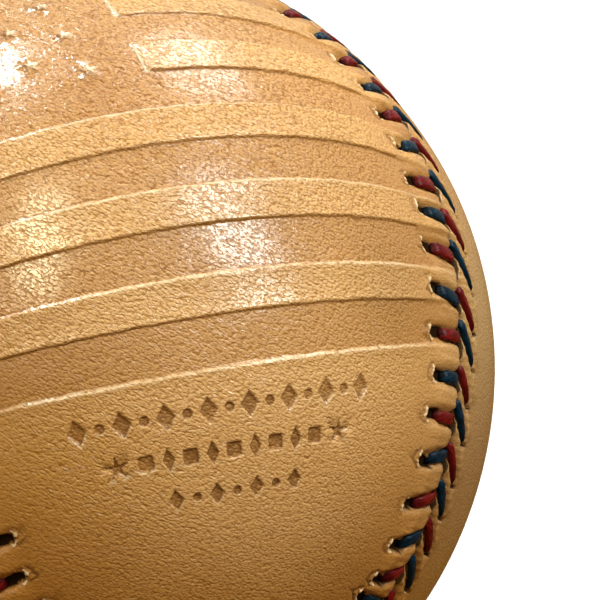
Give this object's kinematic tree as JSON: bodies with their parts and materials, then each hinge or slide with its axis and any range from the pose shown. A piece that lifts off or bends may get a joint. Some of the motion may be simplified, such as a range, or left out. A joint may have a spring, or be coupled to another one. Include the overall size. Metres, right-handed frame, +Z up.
{
  "type": "baseball",
  "caption": "Leather-covered baseball: a cushioned cork centre and wound wool inside figure-eight covers laced together with red and blue waxed thread.",
  "frame": {"origin": "centre of the ball", "axes": "+Z up and -Y towards the viewer, as in the picture, with the striped front cover facing -Y and its waist over the top; +X to the viewer's right"},
  "size_m": [0.0735, 0.0747, 0.0745],
  "materials": {
    "cork": "granular composition cork",
    "black_rubber": "moulded, matt",
    "red_rubber": "moulded, matt",
    "grey_wool": "plied wool yarn, wound tight",
    "white_wool": "plied wool yarn, wound tight",
    "fine_yarn": "fine smooth yarn, wound tight",
    "tan_leather": "oiled full-grain leather, semi-gloss, embossed",
    "red_waxed_thread": "waxed flat cotton thread",
    "blue_waxed_thread": "waxed flat cotton thread"
  },
  "bodies": {
    "root": {"cork_core": "cork", "black_shell_upper": "black_rubber", "black_shell_lower": "black_rubber", "rubber_washer": "red_rubber", "red_shell_right": "red_rubber", "red_shell_left": "red_rubber", "wool_winding_inner": "grey_wool", "wool_winding_middle": "white_wool", "wool_winding_outer": "grey_wool", "fine_yarn_winding": "fine_yarn", "front_cover": "tan_leather", "back_cover": "tan_leather", "red_thread": "red_waxed_thread", "blue_thread": "blue_waxed_thread"}
  },
  "joints": []
}
